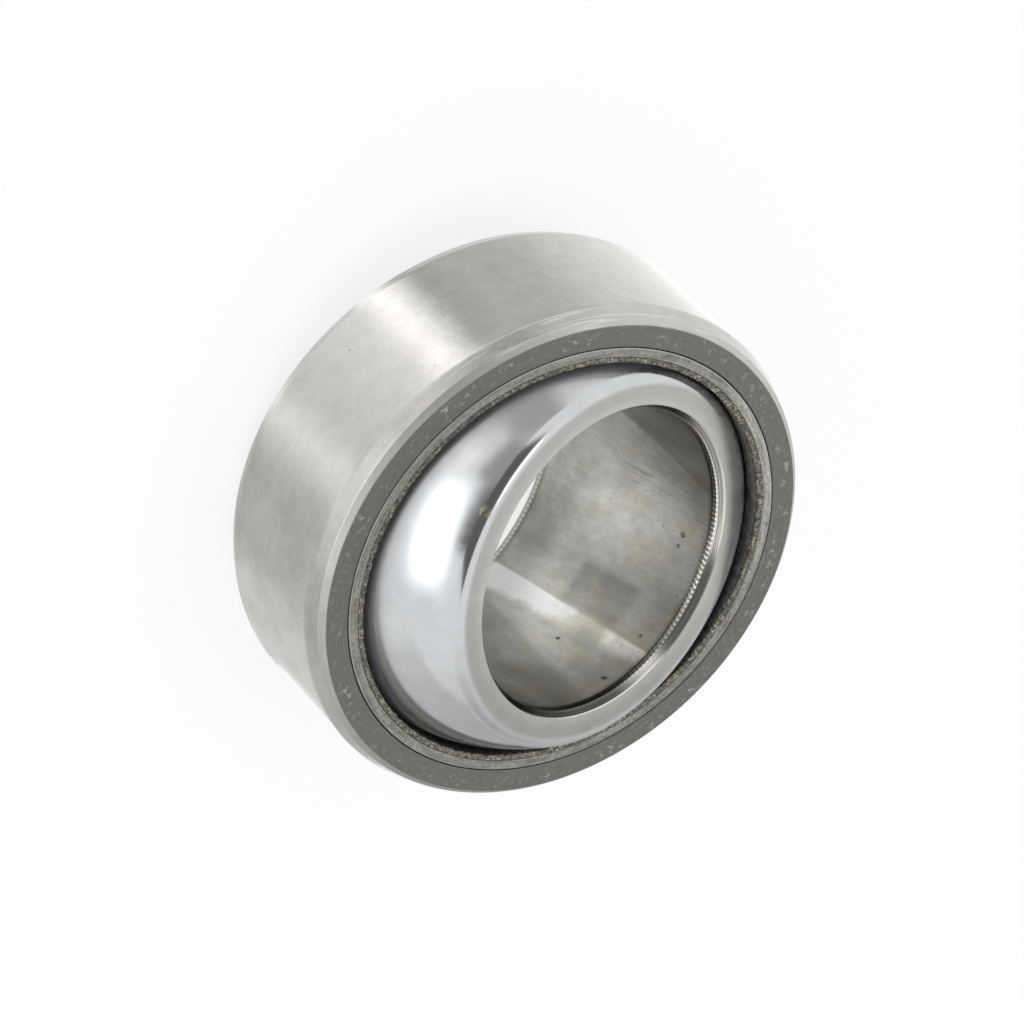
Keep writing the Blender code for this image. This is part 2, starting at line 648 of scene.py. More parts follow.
@dataclass(frozen=True)
class GroundRing:
    """The outer ring: bright ground outside with painted shade on its lead-ins and chamfers, dark matt end
    faces with lighter specks.
    """

    ground: Colour = (0.605, 0.59, 0.567)
    stain: Colour = (0.45, 0.43, 0.39)
    scuff: Colour = (0.86, 0.85, 0.81)
    face: Colour = (0.208, 0.202, 0.190)
    speck: Colour = (0.46, 0.45, 0.41)
    nick: Colour = (0.52, 0.47, 0.33)
    ground_roughness: float = 0.22
    face_roughness: float = 0.52
    chamfer_roughness: float = 0.5
    groove_depth: float = 0.0015
    dent_depth: float = 0.014
    # Painted light: stretches where the lead-ins keep their light; elsewhere they carry painted shade
    painted_light_lead_ins: tuple[Sector, Sector] = ((140.0, 8.0, 12.0), (48.0, 16.0, 14.0))
    # Painted shade: stretches where the chamfers are darkened, each with its level
    painted_shade_chamfers: tuple[tuple[Sector, float], ...] = (
        ((250.0, 80.0, 16.0), 0.78), ((292.0, 30.0, 20.0), 0.6))
    stained: Sector = (165.0, 16.0, 14.0)
    scuffed: Sector = (75.0, 24.0, 20.0)
    scuffs_from: float = 3.35
    band: tuple[float, float] = (11.5, 12.35)
    nick_place: Place = (-4.49, 11.26, SIZES.outer_end)
    nick_size: float = 0.26

    def material(self, name: str, lean: float) -> bpy.types.Material:
        """Builds the material.

        Args:
            name: its name.
            lean: the lean of the ring that it is for.

        Returns:
            The material.
        """
        g = RingGraph(name, lean)
        level = g.total(g.radius, g.height)
        streaks = g.noise(g.around(2.2, 9.0, level), 1.0, detail=4.0, roughness=0.65)
        grain = g.noise(g.around(12.0, 45.0, level), 1.0, detail=2.0, roughness=0.6)
        is_face = g.product(g.step(g.height, SIZES.outer_end - 0.06, SIZES.outer_end - 0.02),
                            g.step(g.radius, SIZES.end_face + 0.04, SIZES.end_face - 0.02))
        colour = g.mix(is_face, self.ground_tone(g, streaks, grain), self.face_tone(g))
        worn = g.step(streaks, 0.3, 0.7, self.ground_roughness - 0.03, self.ground_roughness + 0.05)
        outside = g.between(self.chamfer(g), worn, self.chamfer_roughness)
        rough = g.between(is_face, outside, self.face_roughness)
        height = g.between(is_face, grain, g.noise(g.place, 9.0, detail=3.0, roughness=0.6))
        dents = g.bump(g.noise(g.place, 1.3, detail=3.0, roughness=0.55), self.dent_depth)
        return g.finish(colour, rough, g.bump(height, self.groove_depth, dents))

    def chamfer(self, g: RingGraph) -> Socket:
        """A mask of the chamfers at both ends."""
        edge = SIZES.outer_end - SIZES.end_chamfer
        return g.step(g.height, edge - 0.05, edge + 0.05)

    def ground_tone(self, g: RingGraph, streaks: Socket, grain: Socket) -> Socket:
        """The outside's colour: grinding lines, scuffed lead-ins, painted shade on the lead-ins and chamfers
        with painted light in a few stretches, a cloudy stain, a few dark pits.

        Args:
            g: the ring's graph.
            streaks: a grey noise drawn out round the ring.
            grain: a finer one.

        Returns:
            The colour.
        """
        cloud = g.noise(g.place, 0.35, detail=4.0, roughness=0.6)
        mottle = g.noise(g.place, 1.1, detail=4.0, roughness=0.65)
        lead_in = SIZES.outer_end - SIZES.end_chamfer - SIZES.lead_in_length
        # Painted shade on the lead-ins, left out on the painted-light stretches
        painted_bright = g.largest(*[g.sector(where) for where in self.painted_light_lead_ins])
        lead_in_painted_shade = g.product(g.step(g.height, lead_in - 0.1, lead_in + 0.25), g.between(painted_bright, 1.0, 0.2))
        tone = g.total(g.step(streaks, 0.3, 0.7, 0.98, 1.02), g.step(grain, 0.25, 0.75, -0.015, 0.015))
        tone = g.product(tone, g.step(mottle, 0.3, 0.7, 0.95, 1.04))
        # Painted shade on the chamfers and lead-ins
        dimmer = g.product(*[g.between(g.sector(where), 1.0, level) for where, level in self.painted_shade_chamfers])
        tone = g.product(tone, g.between(self.chamfer(g), g.between(lead_in_painted_shade, 1.0, 0.8), dimmer))
        stained = g.product(g.sector(self.stained), g.step(cloud, 0.42, 0.6), 0.35)
        colour = g.scaled(g.mix(stained, self.ground, self.stain), tone)
        scuffs = g.step(g.noise(g.around(2.5, 6.0, g.height), 1.0, detail=3.0, roughness=0.7), 0.55, 0.68)
        scuffs = g.product(scuffs, g.step(g.height, self.scuffs_from, self.scuffs_from + 0.25),
                           g.between(g.sector(self.scuffed), 0.1, 0.55))
        colour = g.mix(scuffs, colour, self.scuff)
        return g.mix(g.product(g.specks(g.place, 0.55, 0.05), 0.6), colour, self.face)

    def face_tone(self, g: RingGraph) -> Socket:
        """The end faces' colour: dark, with uneven lighter patches along the middle and one nick.

        Args:
            g: the ring's graph.

        Returns:
            The colour.
        """
        matt = g.noise(g.around(30.0, 22.0, g.radius), 1.0, detail=5.0, roughness=0.7)
        large = g.noise(g.place, 1.4, detail=3.0, roughness=0.6)
        flecks = g.noise(g.place, 3.1, detail=4.0, roughness=0.62)
        broken = g.step(g.noise(g.place, 7.0), 0.42, 0.54)
        inside, outside = self.band
        band = g.product(g.step(g.radius, inside, inside + 0.25), g.step(g.radius, outside, outside - 0.35))
        share = g.product(g.step(flecks, 0.51, 0.68), g.step(large, 0.42, 0.62, 0.12, 1.0),
                          g.between(band, 0.3, 1.0))
        tone = g.scaled(g.mix(share, self.face, self.speck), g.step(matt, 0.3, 0.7, 0.9, 1.12))
        nick = g.spot(g.place, self.nick_place, self.nick_size)
        return g.mix(g.product(nick, broken), tone, self.nick)


@dataclass(frozen=True)
class StripSteel:
    """The liner's steel back: dull grey strip, with a painted highlight along its outer edge and painted
    light on one side.
    """

    steel: Colour = (0.40, 0.39, 0.36)
    dimmer: Colour = (0.25, 0.245, 0.22)
    # The colour of the painted highlight along the outer edge
    edge: Colour = (0.50, 0.49, 0.46)
    roughness: float = 0.42
    grain_depth: float = 0.012
    # Painted light: one side of the strip is painted lighter
    lit: Sector = (0.0, 10.0, 26.0)

    def material(self, name: str, lean: float) -> bpy.types.Material:
        """Builds the material.

        Args:
            name: its name.
            lean: the lean of the ring that it is for.

        Returns:
            The material.
        """
        g = RingGraph(name, lean)
        rim = SIZES.backing_outside * math.cos(SIZES.lip_latitude)
        streaks = g.noise(g.around(5.0, 5.0, g.radius), 1.0, detail=4.0, roughness=0.65)
        fine = g.noise(g.place, 7.0, detail=3.0, roughness=0.65)
        colour = g.mix(g.step(streaks, 0.38, 0.68), self.steel, self.dimmer)
        # Painted light on one side of the strip
        lit = g.between(g.sector(self.lit), 0.92, 1.3)
        colour = g.scaled(colour, g.product(g.step(fine, 0.32, 0.68, 0.72, 1.22), lit))
        # Painted highlight along the outer edge
        colour = g.mix(g.step(g.radius, rim - 0.08, rim - 0.03, 0.0, 0.7), colour, self.edge)
        rough = g.step(fine, 0.3, 0.7, self.roughness - 0.06, self.roughness + 0.08)
        return g.finish(colour, rough, g.bump(fine, self.grain_depth))


@dataclass(frozen=True)
class SinteredBronze:
    """The sliding layer: bronze grains on its cut ends, a smooth dark plastic skin on its wall."""

    bronze: Colour = (0.56, 0.52, 0.37)
    steel: Colour = (0.27, 0.26, 0.235)
    filling: Colour = (0.12, 0.115, 0.10)
    skin: Colour = (0.31, 0.30, 0.30)
    skin_roughness: float = 0.38
    grain_roughness: float = 0.55
    grain_depth: float = 0.012
    mouth_depth: float = 0.12

    def material(self, name: str, lean: float) -> bpy.types.Material:
        """Builds the material.

        Args:
            name: its name.
            lean: the lean of the ring that it is for.

        Returns:
            The material.
        """
        g = RingGraph(name, lean)
        jagged = g.noise(g.place, 6.0, detail=3.0, roughness=0.6)
        grains = g.specks(g.place, 7.0, 0.62)
        patches = g.noise(g.place, 2.6, detail=3.0, roughness=0.6)
        limit = SIZES.outer_end - self.mouth_depth
        mouth = g.step(g.total(g.height, g.product(jagged, 0.3)), limit, limit + 0.07)
        share = g.product(grains, g.step(patches, 0.42, 0.64, 0.08, 1.0))
        cut = g.mix(share, g.mix(g.step(jagged, 0.45, 0.6), self.filling, self.steel), self.bronze)
        cloud = g.step(g.noise(g.place, 2.4, detail=4.0, roughness=0.65), 0.34, 0.66, 0.65, 1.25)
        colour = g.mix(mouth, g.scaled(self.skin, cloud), cut)
        rough = g.between(mouth, self.skin_roughness, self.grain_roughness)
        return g.finish(colour, rough, g.bump(g.product(grains, mouth), self.grain_depth))


@dataclass(frozen=True)
class PolishedRing:
    """The inner ring: mirror-polished ball and rims, ground end faces, turned chamfers, stained bore, with
    painted light and shade on the ball, end faces, mouths and bore.

    Its tick marks follow those that are pressed in the ring's mesh: their number round the ring, and
    how they slant, in radians of a mark's wave for each millimetre of height.
    """

    marks: int
    mark_slant: float
    chrome: Colour = (0.62, 0.635, 0.65)
    rust: Colour = (0.50, 0.39, 0.23)
    face: Colour = (0.485, 0.475, 0.455)
    chamfer: Colour = (0.36, 0.35, 0.33)
    bore: Colour = (0.49, 0.485, 0.465)
    tarnish: Colour = (0.40, 0.395, 0.365)
    straw: Colour = (0.49, 0.468, 0.36)
    flush: Colour = (0.62, 0.565, 0.535)
    pit: Colour = (0.10, 0.095, 0.08)
    lead: Colour = (0.64, 0.62, 0.55)
    # The pale colour of the tick marks, also the colour of the painted highlight along the face's inner edge
    tick_and_highlight: Colour = (0.92, 0.90, 0.82)
    chrome_roughness: float = 0.11
    face_roughness: float = 0.30
    bore_roughness: float = 0.25
    shade_reach: float = 2.8
    shade_blur: float = 0.7
    rim_blur: float = 0.42
    line_depth: float = 0.002
    rust_place: Place = (-6.17, 7.03, 5.79)
    rust_size: float = 0.38
    far_rim: Sector = (290.0, 40.0, 25.0)
    # Painted shade and painted light on two stretches of the bore's mouths
    mouth_painted_shade: Sector = (-122.0, 26.0, 18.0)
    mouth_painted_light: Sector = (-54.0, 28.0, 20.0)
    # Painted shade on one stretch of the end faces
    shaded_face: Sector = (238.0, 30.0, 60.0)
    worn_face: Sector = (238.0, 12.0, 14.0)
    scored: Sector = (-15.0, 4.0, 7.0)
    # Painted shade on one patch of the bore, and the height of its middle
    painted_shade_patch: Sector = (-63.0, 6.5, 4.0)
    painted_shade_patch_height: float = 1.0
    drift: float = 0.004
    wedge_slope: float = 3.4
    strip_slope: float = -0.4
    under_slope: float = 2.0
    # Directions round the bore, in degrees, and the painted light and shade there
    bore_levels: Stops = (
        (-180.0, 0.9), (-125.0, 0.88), (-104.0, 0.86), (-90.0, 1.0), (-82.0, 1.06), (-72.0, 1.0),
        (-64.0, 0.9), (-56.0, 0.76), (-46.0, 0.87), (-32.0, 1.18), (-18.0, 1.18), (-6.0, 1.02),
        (6.0, 0.92), (20.0, 0.92), (60.0, 0.85), (180.0, 0.9))
    # Heights along the bore, and how much the painted reflection strip adds there
    strip_levels: Stops = (
        (-7.0, 1.25), (-4.6, 1.15), (-3.0, 1.0), (-1.0, 0.8), (0.6, 0.4), (2.0, 0.2), (3.2, 0.65), (7.0, 0.5))
    # The pits in chosen places, each with its size
    pits: tuple[tuple[Place, float], ...] = (
        ((6.53, -3.68, 3.95), 0.2), ((6.21, -4.2, 3.84), 0.14), ((0.48, -7.48, 0.9), 0.15),
        ((2.6, -7.03, 4.4), 0.16), ((-0.24, -7.5, 4.75), 0.22))

    def material(self, name: str, lean: float) -> bpy.types.Material:
        """Builds the material.

        Args:
            name: its name.
            lean: the lean of the ring that it is for.

        Returns:
            The material.
        """
        g = RingGraph(name, lean)
        end = SIZES.inner_end
        flat = math.sqrt((SIZES.ball - SIZES.rim_rounding) ** 2 - (end - SIZES.rim_rounding) ** 2)
        on_ball = g.step(g.radius, flat - 0.12, flat + 0.22)
        stained = g.product(g.spot(g.place, self.rust_place, self.rust_size),
                            g.step(g.noise(g.place, 6.0, detail=3.0), 0.34, 0.6, 0.2, 0.9))
        in_bore = g.step(g.radius, SIZES.bore_radius + 0.04, SIZES.bore_radius + 0.015)
        on_face = g.step(g.height, end - 0.03, end - 0.01)
        lines = g.noise(g.around(1.5, 60.0, g.total(g.radius, g.height)), 1.0, detail=2.0)
        mouth_or_bore = g.mix(in_bore, self.chamfer_tone(g, lines), self.bore_tone(g))
        colour = g.mix(on_face, mouth_or_bore, self.face_tone(g))
        haze = g.noise(g.place, 1.3, detail=4.0, roughness=0.6)
        rough = g.between(on_face, g.between(in_bore, 0.2, self.bore_roughness), self.face_roughness)
        # Painted shade: ambient occlusion darkens the ball where the liner closes round it
        near = g.node("AmbientOcclusion", {"Distance": self.shade_reach * MM}, output="AO", samples=6)
        shade = g.product(g.step(near, 0.97, 0.3), g.step(g.height, end - 0.2, end - 0.7, 0.25, 1.0))
        polish = g.between(stained, g.step(haze, 0.4, 0.75, self.chrome_roughness, 0.17), 0.45)
        polish = g.total(polish, g.product(shade, self.shade_blur))
        far_rim = g.product(g.sector(self.far_rim), g.step(g.height, end - 0.8, end - 0.5))
        polish = g.total(polish, g.product(far_rim, self.rim_blur))
        rough = g.between(on_ball, rough, polish)
        colour = g.mix(on_ball, colour, g.mix(stained, self.chrome_tone(g, shade), self.rust))
        ground = g.product(lines, g.between(on_ball, g.between(in_bore, 1.0, 0.35), 0.0))
        return g.finish(colour, rough, g.bump(ground, self.line_depth))

    def chrome_tone(self, g: RingGraph, shade: Socket) -> Socket:
        """The ball's colour, with painted shade where the liner closes round it."""
        haze = g.step(g.noise(g.place, 0.9, detail=4.0, roughness=0.6), 0.3, 0.7, 0.96, 1.03)
        return g.scaled(self.chrome, g.product(haze, g.between(shade, 1.0, 0.5)))

    def face_tone(self, g: RingGraph) -> Socket:
        """The end faces' colour: painted shade that is lightest towards the bore and darker on one side,
        finely scratched.

        Args:
            g: the ring's graph.

        Returns:
            The colour.
        """
        cloud = g.noise(g.place, 0.8, detail=5.0, roughness=0.6)
        scratches = g.noise(g.around(70.0, 1.2, g.radius), 1.0, detail=3.0, roughness=0.7)
        tone = g.product(g.step(g.radius, 7.9, 8.45, 1.12, 0.97), g.step(cloud, 0.3, 0.7, 0.95, 1.04),
                         g.between(g.sector(self.shaded_face), 1.02, 0.82))
        fine = g.product(g.step(scratches, 0.3, 0.7, -1.0, 1.0),
                         g.between(g.sector(self.worn_face), 0.006, 0.05))
        return g.scaled(self.face, g.total(tone, fine))

    def chamfer_tone(self, g: RingGraph, lines: Socket) -> Socket:
        """The colour of the bore's mouth: a turned chamfer with painted shade and painted light on two
        stretches, slanting tick marks on its lead, and a painted highlight along the face's inner edge.

        Args:
            g: the ring's graph.
            lines: a grey noise in fine lines round the ring.

        Returns:
            The colour.
        """
        mouth_shade = g.between(g.sector(self.mouth_painted_shade), 1.0, 0.22)
        light = g.between(g.sector(self.mouth_painted_light), 1.0, 1.5)
        turned = g.scaled(self.chamfer, g.product(g.step(lines, 0.36, 0.64, 0.45, 1.6), light))
        # Painted highlight along the inner edge of the end face
        painted_bright = g.step(g.height, SIZES.inner_end - 0.08, SIZES.inner_end - 0.05, 0.0, 0.85)
        slant = g.total(g.product(g.angle, float(self.marks)), g.product(g.z, self.mark_slant))
        ticks = g.step(g.math("SINE", slant), -0.4, 0.9)
        lead = SIZES.inner_end - SIZES.chamfer_length
        low = lead - SIZES.lead_length
        here = g.product(g.step(g.height, low - 0.03, low + 0.02),
                         g.step(g.height, lead + 0.08, lead + 0.02))
        mouth = g.scaled(g.mix(here, turned, g.mix(ticks, self.lead, self.tick_and_highlight)), mouth_shade)
        return g.mix(painted_bright, mouth, self.tick_and_highlight)

    def bore_tone(self, g: RingGraph) -> Socket:
        """The bore's colour: tarnish and old stains under painted light and shade, a painted reflection strip
        with a faint pinkish flush on part of it, and pits on top.

        Args:
            g: the ring's graph.

        Returns:
            The colour.
        """
        mottle = g.noise(g.place, 0.9, detail=5.0, roughness=0.62)
        turn = g.product(g.total(g.angle, g.product(g.z, self.drift)), 180.0 / math.pi)
        strip = self.painted_reflection_strip(g, turn)
        tone = self.bore_light(g, turn, strip, mottle)
        cloud = g.noise(g.around(3.0, 0.35, g.z), 1.0, detail=4.0, roughness=0.6, distortion=0.3)
        patch = g.noise(g.around(6.0, 0.7, g.z), 1.0, detail=4.0, roughness=0.6)
        colour = g.scaled(g.mix(g.step(cloud, 0.40, 0.68), self.bore, self.tarnish), tone)
        old = g.product(g.step(patch, 0.44, 0.64, 0.0, 0.75), g.step(g.z, -2.0, 3.0, 0.3, 1.0))
        colour = g.mix(old, colour, g.scaled(self.straw, tone))
        # A pinkish flush on part of the painted reflection strip
        flush = g.product(strip, g.step(g.z, 0.8, 1.6), g.step(mottle, 0.42, 0.58))
        colour = g.mix(flush, colour, g.scaled(self.flush, tone))
        return g.mix(self.pitted(g), colour, self.pit)

    def painted_reflection_strip(self, g: RingGraph, turn: Socket) -> Socket:
        """A painted reflection in a strip along the bore: sharp at one side, soft at the other, uneven along
        it.
        """
        soft_side = g.total(turn, g.product(g.z, self.strip_slope))
        return g.product(g.step(soft_side, -83.2, -77.4), g.step(turn, -72.0, -73.6),
                         g.levels(g.z, self.strip_levels))

    def bore_light(self, g: RingGraph, turn: Socket, strip: Socket, mottle: Socket) -> Socket:
        """How light the bore is, mostly painted light and shade.

        It follows painted levels round the bore and the painted reflection strip, has painted shade
        towards the mouth and is lighter lower down, and has painted shade in a wedge at one side, under
        the strip and in one patch; it is also darker along the scores.

        Args:
            g: the ring's graph.
            turn: the direction round the bore, in degrees.
            strip: how bright the painted reflection strip is here.
            mottle: a grey noise.

        Returns:
            What the bore's colours are multiplied by.
        """
        fine = g.noise(g.around(22.0, 0.5, g.z), 1.0, detail=4.0, roughness=0.65)
        scores = g.noise(g.around(60.0, 0.3, g.z), 1.0, detail=2.0, roughness=0.6)
        # Painted shade in a wedge at one side
        wedge = g.total(turn, g.product(g.z, self.wedge_slope))
        wedge = g.product(g.step(wedge, 8.4, 10.8), g.step(g.z, -3.5, -0.5))
        scored = g.product(g.sector(self.scored), g.step(g.z, -1.5, 0.5), g.step(mottle, 0.42, 0.54),
                           g.step(scores, 0.56, 0.64))
        off_middle = g.math("ABSOLUTE", g.math("SUBTRACT", g.z, self.painted_shade_patch_height))
        painted_shade_patch = g.product(g.sector(self.painted_shade_patch), g.step(off_middle, 2.2, 1.5))
        # Painted shade under the strip
        under = g.total(turn, g.product(g.z, self.under_slope))
        under = g.product(g.step(under, -92.0, -97.0), g.step(mottle, 0.25, 0.6, 0.7, 1.0))
        return g.product(
            g.total(g.levels(turn, self.bore_levels), strip),
            g.step(g.height, 5.12, 5.36, 1.0, 0.72), g.step(g.z, 5.0, -1.5, 0.78, 1.24),
            g.step(fine, 0.3, 0.7, 0.95, 1.05), g.step(mottle, 0.3, 0.7, 0.91, 1.08),
            g.between(scored, 1.0, 0.7), g.between(wedge, 1.0, 0.7), g.between(painted_shade_patch, 1.0, 0.72),
            g.between(under, 1.0, 0.74))

    def pitted(self, g: RingGraph) -> Socket:
        """A mask of the bore's pits: a few in chosen places, some scattered, and dusty stretches.

        Args:
            g: the ring's graph.

        Returns:
            1 in a pit's middle and 0 on the plain bore.
        """
        found = g.product(g.specks(g.place, 1.4, 0.09), g.step(g.z, -1.0, 3.5))
        dusty = g.step(g.noise(g.place, 0.9, detail=2.0), 0.46, 0.58, 0.0, 0.7)
        found = g.largest(found, g.product(g.specks(g.place, 3.4, 0.18), dusty))
        for place, size in self.pits:
            found = g.largest(found, g.spot(g.place, place, size))
        return g.product(found, g.step(g.noise(g.place, 9.0, detail=2.0), 0.36, 0.5, 0.35, 1.0))


# The bearing


@dataclass
class OuterAssembly:
    """The outer ring and the two layers of the liner that it is pressed round."""

    sizes: BearingSizes
    lean: float
    columns: int = 720
    wall_points: int = 13
    middle_points: int = 7
    face_edge: float = 0.09
    chamfer_edge: float = 0.12
    lead_edge: float = 0.5
    seam_edge: float = 0.045
    bond_edge: float = 0.02
    mouth_edge: float = 0.07
    mouth_reach: float = 0.3
    ragged: float = 0.012

    def wall(self, radius: float, rounding: float) -> np.ndarray:
        """A wall pressed round the ball, from top to bottom: an arc with a straight lip at each end.

        Args:
            radius: the arc's radius about the ball's centre.
            rounding: the rounding of its two ends, at the end faces.

        Returns:
            Rows of (r, z, rounding).
        """
        s = self.sizes
        lip = np.array([[radius * math.cos(s.lip_latitude), s.outer_end, rounding]])
        middle = arc(radius, s.lip_latitude, -s.lip_latitude, self.wall_points)
        return np.concatenate([lip, middle, mirrored(lip)])

    def ring_outline(self) -> np.ndarray:
        """The outer ring's section: cylinder, lead-ins, chamfers, end faces and socket.

        Returns:
            Rows of (r, z).
        """
        s = self.sizes
        corner = np.array([
            (s.end_face, s.outer_end, self.face_edge),
            (s.end_face + s.end_chamfer, s.outer_end - s.end_chamfer, self.chamfer_edge),
            (s.outside, s.outer_end - s.end_chamfer - s.lead_in_length, self.lead_edge),
        ])
        middle = stretch(tuple(corner[2, :2]), (s.outside, -corner[2, 1]), self.middle_points)
        socket = self.wall(s.socket, self.seam_edge)[::-1]
        return rounded(np.concatenate([corner, middle, mirrored(corner), socket]))

    def layer_outline(self, inside: tuple[float, float], outside: tuple[float, float]) -> np.ndarray:
        """The section of a layer between two walls, each given by its radius and its ends' rounding."""
        return rounded(np.concatenate([self.wall(*outside), self.wall(*inside)[::-1]]))

    def build_ring(self) -> None:
        """Builds the outer ring."""
        finish = GroundRing().material("ground_ring_steel", self.lean)
        slot, node = Slot.RING_STEEL, Node.OUTER_RING
        piece = TurnedPiece("outer_ring_ground", self.lean, Body.OUTER, slot, node, finish)
        piece.make(self.ring_outline(), whole_turn(self.columns))

    def build_back(self) -> None:
        """Builds the liner's steel back."""
        s = self.sizes
        section = self.layer_outline((s.backing_inside, self.bond_edge), (s.backing_outside, self.seam_edge))
        finish = StripSteel().material("strip_steel_edge", self.lean)
        slot, node = Slot.STRIP_STEEL, Node.LINER_BACKING
        piece = TurnedPiece("liner_steel_back", self.lean, Body.OUTER, slot, node, finish)
        piece.make(section, whole_turn(self.columns))

    def build_layer(self) -> None:
        """Builds the sliding layer, its inner edge a little uneven at both mouths."""
        s, angles = self.sizes, whole_turn(self.columns)
        section = self.layer_outline((s.layer_inside, self.mouth_edge), (s.layer_outside, self.bond_edge))
        lip_middle = (s.layer_inside + s.layer_thickness / 2) * math.cos(s.lip_latitude)
        at_mouth = (np.abs(section[:, 1:]) > s.outer_end - self.mouth_reach) & (section[:, :1] < lip_middle)
        uneven = at_mouth * self.ragged * ripple(angles, 40, 260, seed=5)
        finish = SinteredBronze().material("sintered_bronze", self.lean)
        slot, node = Slot.BRONZE_LAYER, Node.SLIDING_LAYER
        piece = TurnedPiece("liner_bronze_layer", self.lean, Body.OUTER, slot, node, finish)
        piece.make(section, angles, lift=-np.abs(uneven) * np.sign(section[:, 1:]), swell=uneven)

    def build(self) -> None:
        """Builds the ring and the liner's two layers."""
        self.build_ring()
        self.build_back()
        self.build_layer()


@dataclass
class InnerRing:
    """The ball-shaped inner ring, with tool marks round the mouths of its bore."""

    sizes: BearingSizes
    lean: float
    marks: int = 190
    columns_per_mark: int = 5
    mark_depth: float = 0.005
    mark_slant: float = 3.0
    mark_height: float = 0.25
    mark_unevenness: float = 0.35
    lead_margin: float = 0.01
    flat_margin: float = 0.03
    ball_margin: float = 0.004
    lead_points: int = 4
    ball_points: int = 29
    bore_edge: float = 0.05
    lead_edge: float = 0.03
    face_edge: float = 0.03
    rim_points: int = 7

    def rim(self) -> np.ndarray:
        """The small arc that rounds the ball's rim: it touches the end face and the ball.

        Returns:
            Rows of (r, z, 0).
        """
        s = self.sizes
        middle_z = s.inner_end - s.rim_rounding
        middle_r = math.sqrt((s.ball - s.rim_rounding) ** 2 - middle_z**2)
        latitude = np.linspace(math.pi / 2, math.atan2(middle_z, middle_r), self.rim_points)
        r = middle_r + s.rim_rounding * np.cos(latitude)
        z = middle_z + s.rim_rounding * np.sin(latitude)
        return np.stack([r, z, np.zeros_like(r)], axis=1)

    def outline(self) -> np.ndarray:
        """The section, from the top mouth of the bore over the end face and down the ball.

        Returns:
            Rows of (r, z).
        """
        s = self.sizes
        bore_top = (s.bore_radius, s.inner_end - s.chamfer_length - s.lead_length)
        lead_top = (s.bore_radius + s.lead_rise, s.inner_end - s.chamfer_length)
        face_inside = (s.bore_radius + s.lead_rise + s.chamfer_rise, s.inner_end)
        rim = self.rim()
        flat = np.array([[rim[0, 0] - self.flat_margin, s.inner_end, 0.0]])
        latitude = math.atan2(rim[-1, 1], rim[-1, 0])
        top = np.concatenate([
            [(*bore_top, self.bore_edge)], stretch(bore_top, lead_top, self.lead_points),
            [(*lead_top, self.lead_edge)], [(*face_inside, self.face_edge)], flat, rim,
        ])
        reach = latitude - self.ball_margin
        return rounded(np.concatenate([top, arc(s.ball, reach, -reach, self.ball_points), mirrored(top)]))

    def build(self) -> None:
        """Builds the ring, with a ripple of tool marks on both leads of its bore."""
        s, outline = self.sizes, self.outline()
        angles = whole_turn(self.marks * self.columns_per_mark)
        low, high = s.inner_end - s.chamfer_length - s.lead_length, s.inner_end - s.chamfer_length
        level = (np.abs(outline[:, 1:]) - low) / (high - low)
        near_bore = outline[:, :1] < s.bore_radius + s.lead_rise + self.lead_margin
        inside = near_bore & (level > 0) & (level < 1)
        strength = inside * np.sin(np.clip(level, 0, 1) * math.pi) ** 0.5
        uneven = 1.0 + self.mark_unevenness * ripple(angles, 3, 60, seed=11)
        wave = np.cos(self.marks * angles + self.mark_slant * level * self.mark_height)
        finish = PolishedRing(self.marks, self.mark_slant).material("polished_bearing_steel", self.lean)
        slot, node = Slot.POLISHED_STEEL, Node.INNER_RING
        piece = TurnedPiece("inner_ring_polished", self.lean, Body.INNER, slot, node, finish)
        piece.make(outline, angles, swell=self.mark_depth * strength * uneven * wave)


# The studio


def soft_glow(name: str, width: float, height: float, soft: float, colour: Colour,
              glow: float) -> bpy.types.Material:
    """A light that fades to nothing towards its edges, over what is behind it.

    Args:
        name: the material's name.
        width: how wide the card is along its own X, in millimetres.
        height: how high it is along its own Y.
        soft: the share of each half side over which it fades.
        colour: its colour.
        glow: its strength in the middle.

    Returns:
        The material.
    """
    g = Graph(name)
    shown: Value = 1.0
    for side, size in zip(g.parts(g.node("TexCoord", {}, output="Object")), (width, height)):
        half = size * MM / 2
        shown = g.product(shown, g.step(g.math("ABSOLUTE", side), half, half * (1 - soft)))
    return g.glow(shown, g.node("Emission", {"Color": colour, "Strength": glow}))


def rectangle(name: str, x: float, y: float, z: float = 0.0) -> bpy.types.Mesh:
    """A flat mesh at a height.

    Args:
        name: the mesh's name.
        x: how far it reaches to both sides along X, in metres.
        y: how far along Y.
        z: its height.

    Returns:
        The mesh.
    """
    mesh = bpy.data.meshes.new(name)
    mesh.from_pydata([(-x, -y, z), (x, -y, z), (x, y, z), (-x, y, z)], [], [(0, 1, 2, 3)])
    return mesh


def staged(name: str, mesh: bpy.types.Mesh, material: bpy.types.Material, use: Use) -> bpy.types.Object:
    """Puts a lamp or card in the studio, seen by the metal but not by the camera.

    Args:
        name: its name.
        mesh: its mesh.
        material: its glow.
        use: what it is for. Only a lamp lights matt things.

    Returns:
        The new object.
    """
    mesh.materials.append(material)
    obj = bpy.data.objects.new(name, mesh)
    obj.visible_camera = obj.visible_shadow = obj.visible_transmission = False
    obj.visible_diffuse = use is Use.LAMP
    bpy.context.scene.collection.objects.link(obj)
    return obj


